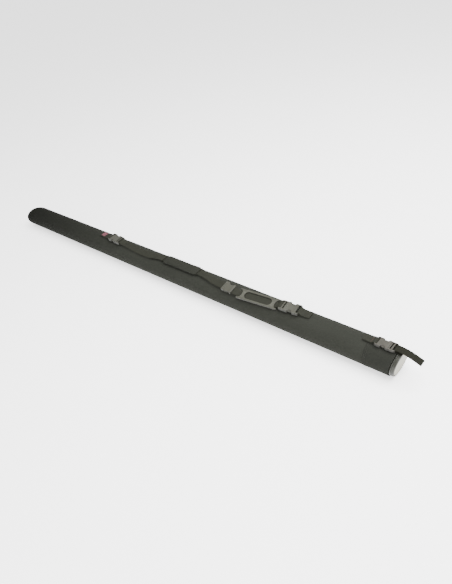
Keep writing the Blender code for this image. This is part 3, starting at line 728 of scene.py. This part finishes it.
def make_tab(number, where, length, thread, tack_rows=3, lift=BUCKLE_LIFT, size=1.0, width=WEB_WIDTH):
    """Webbing sewn to the cover, folded round the socket's bar; lengths are in the buckle's own size."""
    sewn = (WEB_LIFT - lift) / size
    over = sewn + (WEB_THICKNESS / MM + PLY_GAP) / size
    base = BAR_HEIGHT - LOOP_RADIUS
    crest = BAR_HEIGHT + LOOP_RADIUS
    end = SOCKET_END - length
    count = max(2, round((length - 8.0) / 6.0))
    lying = [end + (length - 8.0) * k / count for k in range(count + 1)]
    lying = sorted(lying + [end + x for x in (0.25, 0.8, 1.6, 2.6)])
    below = [(x, sewn) for x in lying] + [(SOCKET_END - 5.0, sewn + 0.2), (SOCKET_BAR - 2.0, base - 0.2)]
    loop = arc((SOCKET_BAR, BAR_HEIGHT), LOOP_RADIUS, 270.0, 450.0, 10)
    above = [(SOCKET_BAR - 2.5, crest - 0.3), (SOCKET_BAR - 5.5, (crest + over) / 2),
             (SOCKET_BAR - 8.5, over + 0.4), (SOCKET_BAR - 11.0, over)]
    above += [(x, over) for x in reversed(lying) if x < SOCKET_BAR - 12.0]
    tab = webbing(f"tab_{number}_webbing", in_frame(where, below + loop + above), 3.0 * MM, 0.25 * MM, width)
    finish_piece(tab, WEB, "case", [f"tab_{number}"])
    top = over + 0.62 / size
    half = width / MM / 2 / size
    runs = cross_box(where, (end, min(end + 19.0, SOCKET_BAR - 11.0)), half, top)
    stitches(f"tab_{number}_stitches", runs, THREAD, "case")
    runs = bar_tack(where, SOCKET_BAR - 11.6, half - 1.4, top + 0.12, tack_rows)
    stitches(f"tab_{number}_bar_tack", runs, thread, "case", **TACK)


def make_straps(front_plug, rear_plug):
    """The carrying strap's two lengths, each looped round its plug's bar and sewn.

    Their routes are tables of s, roll, offset and lift. The strap lies on the cover, and higher inside
    the slider and the padded sleeve.
    """
    web = WEB_LIFT
    slide = 2.3
    grip = 2.8
    front = [
        (285.0, 10.8, 0.1, web + 0.9), (288.5, 13.0, 0.6, web + 0.1), (293.0, 13.8, 0.7, web),
        (310.0, 14.0, -0.4, web), (360.0, 14.0, -4.5, web), (388.0, 14.0, -6.4, web),
        (399.0, 14.0, -6.3, slide - 0.5), (405.0, 14.0, -5.9, slide), (448.0, 14.0, -2.9, slide),
        (454.0, 14.0, -2.6, slide - 0.4), (464.0, 14.0, -2.0, web), (471.0, 13.6, -1.7, web + 0.1),
        (484.0, 11.6, -1.4, grip - 1.0), (496.0, 8.8, -1.0, grip - 0.1), (506.0, 6.4, -0.8, grip),
        (519.0, 4.2, -0.6, grip), (540.0, 3.0, -0.6, grip), (578.0, 3.0, -0.6, grip),
    ]
    rear = [
        (617.0, 3.0, -0.6, grip), (650.0, 3.0, -0.6, grip), (670.0, 4.2, -0.7, grip),
        (685.0, 6.6, -0.9, grip), (695.0, 9.0, -1.1, grip - 0.3), (709.0, 11.8, -1.2, web + 0.5),
        (729.0, 13.6, -0.9, web), (748.0, 14.0, -0.6, web), (790.0, 10.5, -0.5, web),
        (812.0, 7.0, -0.8, web + 0.4), (822.0, 5.5, -1.2, web + 0.15),
        (825.5, 5.2, -1.3, web + 0.6), (829.0, 5.0, -1.4, web + 1.7),
    ]
    droop = 0.3 * MM
    strap = webbing("strap_front_webbing", end_loop(front_plug, -1.0) + route(front), droop=droop)
    finish_piece(strap, WEB, "strap_front", ["strap_front"])
    strap = webbing("strap_rear_webbing", route(rear) + end_loop(rear_plug, 1.0)[::-1], droop=droop)
    finish_piece(strap, WEB, "strap_rear", ["strap_rear"])
    for body, s, roll, offset, lift in (
        ("strap_front", 288.5, 13.0, 0.6, web + 0.1), ("strap_rear", 819.0, 5.9, -1.1, web + 0.2),
    ):
        where = place(s, roll, lift, offset)
        runs = bar_tack(where, -1.0, 8.6, WEB_THICKNESS / MM / 2 + 0.05)
        stitches(f"{body}_bar_tack", runs, THREAD, body, **TACK)


def make_cap_strap():
    """Riveted to the cap's wall, round the plug's end bar, and out as a loose tail with a heat-cut end."""
    on_wall = (TUBE_RADIUS - COVER_RADIUS) / MM + WEB_LIFT
    bar_x = PLUG_BAR * CLOSURE_SIZE - CLOSURE_AT
    low = CLOSURE_LIFT + (BAR_HEIGHT - LOOP_RADIUS) * CLOSURE_SIZE
    high = CLOSURE_LIFT + (BAR_HEIGHT + LOOP_RADIUS) * CLOSURE_SIZE
    rise = [(11.8, on_wall), (9.5, on_wall), (7.4, on_wall + 0.05), (6.3, on_wall + 0.5), (5.3, low - 1.0),
            (4.2, low - 0.3), (3.0, low), (0.6, low)]
    loop = arc((bar_x, (low + high) / 2), LOOP_RADIUS * CLOSURE_SIZE, 270.0, 90.0, 10)
    tail = [(1.6, high), (6.0, high - 0.2), (12.0, high - 0.9), (18.0, high - 2.0), (25.0, high - 3.9),
            (33.0, high - 6.6), (42.0, high - 10.2), (TAIL_REACH / MM - 0.2, high - 14.4)]
    path = in_frame(place(0.0), rise + loop + tail)
    strap = webbing("cap_strap_webbing", path, width=CLOSURE_WEB)
    finish_piece(strap, CAP_WEB, "cap", ["cap_strap"])


def plate_rings(where, outline, low, high):
    """Rings of a moulded plate with a softened rim; the outline runs anticlockwise."""
    rings = []
    for inset, z in ((0.4, low), (0.0, low + 0.3), (0.0, high - 0.8), (0.25, high - 0.25), (0.75, high)):
        ring = []
        for i, (x, y) in enumerate(outline):
            before = outline[i - 1]
            after = outline[(i + 1) % len(outline)]
            run = Vector((after[0] - before[0], after[1] - before[1])).normalized()
            ring.append(where @ Vector(((x - run.y * inset) * MM, (y + run.x * inset) * MM, z * MM)))
        rings.append(ring)
    return rings


def boxes(name, where, spans):
    """One mesh of separate boxes, each given by its x, y and z ranges in millimetres."""
    points = []
    faces = []
    for xs, ys, zs in spans:
        base = len(points)
        points += [where @ Vector((x * MM, y * MM, z * MM)) for x in xs for y in ys for z in zs]
        faces += [tuple(base + i for i in face) for face in BOX_FACES]
    return mesh_object(name, points, faces)


def make_slider():
    """The slider: a waisted top plate and a thin base joined by four posts, the webbing between them."""
    where = place(426.5, roll=14.0, offset=-4.4, yaw=-4.0)
    half, side = 15.5, 13.0

    def edge(bite_mid, bite_half, bite_deep):
        bend = (bite_half**2 + bite_deep**2) / (2.0 * bite_deep)
        found = [(-half, side - 1.8), (-half + 0.5, side - 0.5), (-half + 1.8, side)]
        for k in range(13):
            t = bite_half * (k / 6.0 - 1.0)
            found.append((bite_mid + t, side - (math.sqrt(bend**2 - t**2) - (bend - bite_deep))))
        return found + [(half - 1.6, side), (half - 0.4, side - 0.5), (half, side - 1.6)]

    outline = [(x, -y) for x, y in edge(8.5, 4.6, 1.7)] + edge(2.5, 9.0, 4.4)[::-1]
    plate = loft("slider_top_plate", plate_rings(where, outline, 3.7, 5.85), sharp=40.0)
    finish_piece(plate, BUCKLE, "slider", ["strap_slider"])
    rings = plate_rings(where, outline, 0.4, 1.25)
    post_xs = ((-14.6, -7.4), (12.2, 14.8))
    post_ys = ((-12.7, -10.9), (10.9, 12.7))
    posts = [(xs, ys, (0.8, 4.4)) for xs in post_xs for ys in post_ys]
    ribs = [((x, x + 1.2), (-9.5, 9.5), (5.6, 6.15)) for x in (-12.6, -9.6)]
    for piece in (
        loft("slider_base_plate", rings[:2] + rings[3:4]),
        boxes("slider_posts", where, posts),
        boxes("slider_grip_ribs", where, ribs),
    ):
        finish_piece(piece, BUCKLE, "slider")


def make_label(where):
    """A plain woven label on a tab, its folded ends sewn down."""
    low = WEB_LIFT - BUCKLE_LIFT + 1.5 * WEB_THICKNESS / MM + PLY_GAP + GAP / MM
    start, end = -75.5, -59.5
    upper = [(7.6, 0.2), (7.4, 0.42), (3.0, 0.5), (-3.0, 0.5), (-7.4, 0.42), (-7.6, 0.2)]
    rings = []
    for k in range(17):
        wave = 0.12 * math.sin(k * 0.8) if 0 < k < 16 else 0.0
        fold = 0.25 if k in (1, 2, 14, 15) else 0.0
        ring = []
        for y, rise in [(-7.5, 0.0), (7.5, 0.0)] + upper:
            z = low + rise + (wave + fold if rise > 0.3 else 0.0)
            ring.append(where @ Vector(((start + (end - start) * k / 16) * MM, y * MM, z * MM)))
        rings.append(ring)
    finish_piece(loft("label_cloth", rings, sharp=60.0), LABEL, "case", ["woven_label"])
    top = low + 0.72
    runs = bar_tack(where, start + 1.3, 6.6, top, 1) + bar_tack(where, end - 1.5, 6.6, top, 1)
    stitches("label_stitches", runs, THREAD, "case", "label", length=1.6 * MM, pitch=2.2 * MM, size=0.3 * MM)


# Padded pieces


def slab(length, half, low, high, taper, corner, spacing):
    """Closed rings of a soft flat shape, rounded in plan and thinned towards its ends.

    Taper is how far the thinning reaches at the -x end; at the other end it reaches half as far.
    """
    count = round(length / spacing)
    rings = []
    for k in range(count + 1):
        x = -length / 2 + length * k / count
        to_end = min(x + length / 2, length / 2 - x)
        side = half
        if to_end < corner:
            side -= 0.75 * (corner - math.sqrt(max(0.0, corner**2 - (corner - to_end) ** 2)))
        fade = taper if x < 0.0 else taper * 0.5
        thin = min(1.0, 0.55 + 0.45 * math.sin(min(1.0, to_end / fade) * math.pi / 2))
        middle = (low + high) / 2 - (1.0 - thin) * (high - low) * 0.12
        tall = (high - low) / 2 * thin
        ring = []
        for turn in turns(28):
            y = signed_power(math.cos(turn), 0.45) * side
            ring.append(Vector((x, y, middle + signed_power(math.sin(turn), 0.7) * tall)))
        rings.append(ring)
    return rings


def settled_mesh(obj):
    """The mesh that a piece's modifiers give now; the modifiers go."""
    made = bpy.data.meshes.new_from_object(obj.evaluated_get(bpy.context.evaluated_depsgraph_get()))
    obj.modifiers.clear()
    return made


def inflate(obj, cell, limit):
    """Lets the cloth of a padded shape fill, then keeps every point within limit of where it started."""
    remesh = obj.modifiers.new("even", "REMESH")
    remesh.mode = "VOXEL"
    remesh.voxel_size = cell
    remesh.use_smooth_shade = True
    obj.data = settled_mesh(obj)
    cloth = obj.modifiers.new("filling", "CLOTH")
    cloth.settings.use_pressure = True
    cloth.settings.uniform_pressure_force = FILL_PRESSURE
    cloth.settings.effector_weights.gravity = 0.0
    cloth.settings.quality = 6
    cloth.settings.mass = 0.2
    cloth.settings.tension_stiffness = 30.0
    cloth.settings.compression_stiffness = 12.0
    cloth.settings.bending_stiffness = 0.4
    cloth.point_cache.frame_start = 1
    cloth.point_cache.frame_end = FILL_FRAMES
    scene = bpy.context.scene
    for number in range(1, FILL_FRAMES + 1):
        scene.frame_set(number)
    filled = settled_mesh(obj)
    for vertex, target in zip(obj.data.vertices, filled.vertices):
        moved = target.co - vertex.co
        if moved.length > limit:
            moved *= limit / moved.length
        vertex.co += moved
    scene.frame_set(1)
    smooth = obj.modifiers.new("even_out", "SMOOTH")
    smooth.factor = 0.5
    smooth.iterations = 2
    finer = obj.modifiers.new("finer", "SUBSURF")
    finer.levels = 1
    finer.render_levels = 1
    obj.data = settled_mesh(obj)
    return obj


def flat_uvs(obj):
    """Flat coordinates in metres for a padded piece, as seen from above."""
    layer = obj.data.uv_layers.new(name="UVMap")
    for loop, data in zip(obj.data.loops, layer.data):
        co = obj.data.vertices[loop.vertex_index].co
        data.uv = (co.y, co.x + co.z)


def make_grip():
    """The padded sleeve: filled cloth, ribs towards its far end, edge stitches and hemmed mouths."""
    length = (GRIP_END - GRIP_START - 1.6) * MM
    where = place((GRIP_START + GRIP_END) / 2, roll=3.0)
    rings = slab(length, half=16.2 * MM, low=0.45 * MM, high=5.6 * MM, taper=16.0 * MM, corner=8.0 * MM,
                 spacing=4.0 * MM)
    cell = 3.2 * MM
    obj = inflate(loft("grip_padding", rings), cell, limit=1.1 * MM)
    for vertex in obj.data.vertices:
        co = vertex.co
        co.z = max(co.z, 0.35 * MM)
        seam = math.exp(-((abs(co.y) - GRIP_SEAM) / (1.1 * MM)) ** 2)
        if co.z > 3.0 * MM:
            co.z -= 0.75 * MM * seam
        if RIB_START < co.x < RIB_END and co.y < RIB_SIDE and co.z > 2.0 * MM:
            fade = min(1.0, (RIB_END - co.x) / (8.0 * MM), (co.x - RIB_START) / (6.0 * MM),
                       (RIB_SIDE - co.y) / (3.0 * MM))
            co.z += RIB_HEIGHT * fade * math.cos(2.0 * math.pi * co.x / RIB_PITCH)
    flat_uvs(obj)
    obj.data.transform(where)
    obj.data.shade_smooth()
    finish_piece(obj, GRIP, "grip", ["grip_sleeve"])

    normal = where.col[2].to_3d()
    runs = []
    for y in (-GRIP_SEAM, GRIP_SEAM):
        xs = [(-56.0 + 112.0 * k / 24) * MM for k in range(25)]
        runs.append([(surface_point(obj, where, x, y), normal) for x in xs])
    stitches("grip_stitches", runs, THREAD, "grip", "pad_fabric")
    for label, sign in (("far", -1.0), ("near", 1.0)):
        rings = []
        for turn in turns(48):
            y = signed_power(math.cos(turn), 0.5) * 14.3
            z = 2.8 + signed_power(math.sin(turn), 0.6) * 2.15
            ring = []
            for bend in turns(8):
                out = 0.55 * math.sin(bend)
                x = sign * (62.4 + 0.9 * math.cos(bend))
                point = Vector((x, y + out * math.cos(turn), z + out * math.sin(turn)))
                ring.append(where @ (point * MM))
            rings.append(ring)
        mouth = loft(f"grip_mouth_{label}", rings, closed=True)
        finish_piece(mouth, TAPE, "grip")


def surface_point(obj, where, x, y):
    """The highest point of a settled piece above (x, y) of its own frame."""
    down = -(where.col[2].to_3d())
    start = where @ Vector((x, y, 20.0 * MM))
    hit, point, _, _ = obj.ray_cast(start, down)
    return point if hit else where @ Vector((x, y, 5.0 * MM))


def make_foam():
    """Two foam bumpers: soft discs with rolled edges."""
    radius = TUBE_RADIUS - TUBE_WALL - CAP_SKIRT - 2 * GAP
    outline = ((0, 0.02), (0, 0.5), (0, 0.93), (0.25, 1.0), (0.75, 1.0), (1, 0.93), (1, 0.5), (1, 0.02))
    for name, node, body, start, end, tip in (
        ("end_bumper_foam", "end_foam_bumper", "case", 1284.0, 1276.3, 0.0),
        ("cap_pad_foam", "cap_foam_pad", "cap", -0.6, -4.3, 1.0),
    ):
        rings = []
        for angle in turns(72):
            ring = []
            for through, share in outline:
                y = radius * share * math.sin(angle)
                z = radius * share * math.cos(angle)
                x = X_HEM - (start + (end - start) * through) * MM + tip * (TIP_SIDE * y + TIP_UP * z)
                ring.append(Vector((x, y, AXIS_Z + z)))
            rings.append(ring)
        foam = loft(name, rings, closed=True)
        finish_piece(foam, FOAM, body, [node])


# The case


COVER = fabric_material("cover_fabric_look", (0.0145, 0.0153, 0.0125), (0.0240, 0.0252, 0.0211), CANVAS)
BAND = fabric_material("end_band_look", (0.0117, 0.0123, 0.0102), (0.0194, 0.0203, 0.0172), CANVAS)
TAPE = fabric_material("binding_tape_look", (0.0065, 0.0068, 0.0049), (0.0120, 0.0123, 0.0094), TAPE_CLOTH)
GRIP = fabric_material("grip_fabric_look", (0.0130, 0.0136, 0.0110), (0.0216, 0.0226, 0.0186), SLEEVE_CLOTH,
                       flat=True)
LABEL = fabric_material("label_look", (0.105, 0.040, 0.050), (0.165, 0.072, 0.086), LABEL_CLOTH)
WEB = webbing_material("webbing_look", (0.0104, 0.0108, 0.0079), (0.0226, 0.0234, 0.0182))
CAP_WEB = webbing_material("cap_webbing_look", (0.0060, 0.0062, 0.0042), (0.0134, 0.0137, 0.0098))
THREAD = thread_material("thread_look", (0.0078, 0.0082, 0.0057), (0.0149, 0.0156, 0.0114))
BROWN_THREAD = thread_material("brown_thread_look", (0.022, 0.011, 0.008), (0.040, 0.022, 0.017))
# The buckles' side faces carry painted shade from the side share.
BUCKLE = plastic_material("buckle_plastic_look", (0.0262, 0.0264, 0.0196), (0.0350, 0.0353, 0.0264), 0.48,
                          specular=0.3, side_shade=0.4)
CLOSURE = plastic_material("closure_plastic_look", (0.0265, 0.0245, 0.0188), (0.0355, 0.0330, 0.0254), 0.48,
                           specular=0.3, side_shade=0.4)
TUBE = plastic_material("tube_plastic_look", (0.36, 0.36, 0.34), (0.42, 0.42, 0.40), 0.45)
CAP = plastic_material("cap_plastic_look", (0.0160, 0.0168, 0.0128), (0.0240, 0.0248, 0.0200), 0.34,
                       specular=0.15)
# The face disc's dark ring is painted shade.
FACE = plastic_material("cap_face_look", (0.245, 0.236, 0.186), (0.282, 0.272, 0.218), 0.5, specular=0.12,
                        rim=FACE_SHADE_RIM)
FOAM = foam_material("foam_look", (0.02, 0.02, 0.02), (0.06, 0.06, 0.06))
RIVET = metal_material("rivet_look", (0.45, 0.44, 0.42))

CARRIED_OVER = {
    "inner_tube": TUBE, "tube_end_plug": TUBE, "end_cap": CAP, "cap_face_disc": FACE, "cap_rivet": RIVET,
    "strap_pad": BUCKLE,
}
for number, look in ((1, BUCKLE), (2, BUCKLE), (3, CLOSURE)):
    for part in ("socket", "plug", "prong_a", "prong_b"):
        CARRIED_OVER[f"buckle_{number}_{part}"] = look
for name, look in CARRIED_OVER.items():
    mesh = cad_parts[name].data
    mesh.materials.clear()
    mesh.materials.append(look)

rear_buckle = place(854.0, roll=5.0, lift=BUCKLE_LIFT, offset=-0.4, yaw=-2.7)
front_buckle = place(260.0, roll=7.0, lift=BUCKLE_LIFT, offset=0.2, yaw=4.0, facing=-1)
closure = place(CLOSURE_AT, lift=CLOSURE_LIFT) @ Matrix.Scale(CLOSURE_SIZE, 4)
make_sleeve()
make_end_band()
make_hem()
make_closed_end()
make_cover_seams()
make_tab(1, rear_buckle, 48.0, THREAD)
make_tab(2, front_buckle, 27.0, THREAD)
make_tab(3, closure, 32.0, BROWN_THREAD, 6, CLOSURE_LIFT, CLOSURE_SIZE, CLOSURE_WEB)
make_straps(front_buckle, rear_buckle)
make_cap_strap()
make_slider()
make_label(rear_buckle)
make_grip()
make_foam()


# Camera, floor and light


def make_camera():
    """The viewing angle: 33.64 tube radii from the axis, beyond the cap and above the near side."""
    right = Vector((0.7508, 0.6409, -0.1598))
    forward = Vector((-0.5848, 0.5327, -0.6118)).normalized()
    up = right.cross(forward).normalized()
    right = forward.cross(up).normalized()
    data = bpy.data.cameras.new("camera")
    data.lens = 32.67
    data.sensor_width = 36.0
    camera = bpy.data.objects.new("camera", data)
    turn = Matrix((right, up, -forward)).transposed().to_4x4()
    camera.matrix_world = Matrix.Translation((X_HEM + 0.3176, -0.7014, 0.8372)) @ turn
    bpy.context.scene.collection.objects.link(camera)
    bpy.context.scene.camera = camera


def add_light(name, where, target, size, power):
    data = bpy.data.lights.new(name, "AREA")
    data.shape = "RECTANGLE"
    data.size, data.size_y = size
    data.energy = power
    light = bpy.data.objects.new(name, data)
    light.location = where
    light.rotation_mode = "QUATERNION"
    light.rotation_quaternion = (Vector(target) - Vector(where)).to_track_quat("-Z", "Y")
    bpy.context.scene.collection.objects.link(light)


def make_floor():
    """A plain pale floor, with a slight glow of its own that keeps it as pale as paper."""
    bm = bmesh.new()
    bmesh.ops.create_grid(bm, x_segments=1, y_segments=1, size=12.0)
    mesh = bpy.data.meshes.new("floor")
    bm.to_mesh(mesh)
    bm.free()
    floor = bpy.data.objects.new("floor", mesh)
    floor.location = (0.0, 0.0, -0.2 * MM)
    bpy.context.scene.collection.objects.link(floor)
    look = Shader("floor_look").finish(
        base_color=(0.96, 0.96, 0.96), roughness=0.9, specular_ior_level=0.1,
        emission_color=(1.0, 1.0, 1.0), emission_strength=1.3,
    )
    mesh.materials.append(look)


def make_light():
    """An even white surround, a soft light above the cap end and another beside the camera."""
    world = bpy.data.worlds.new("studio")
    world.use_nodes = True
    background = world.node_tree.nodes["Background"].inputs
    background["Color"].default_value = (1.0, 1.0, 1.0, 1.0)
    background["Strength"].default_value = 1.1
    bpy.context.scene.world = world
    add_light("key", (0.95, 0.15, 1.75), (0.3, 0.0, 0.03), (1.8, 1.4), 130.0)
    add_light("front", (1.4, -2.2, 1.2), (0.1, 0.0, 0.03), (2.0, 1.4), 30.0)


make_camera()
make_floor()
make_light()
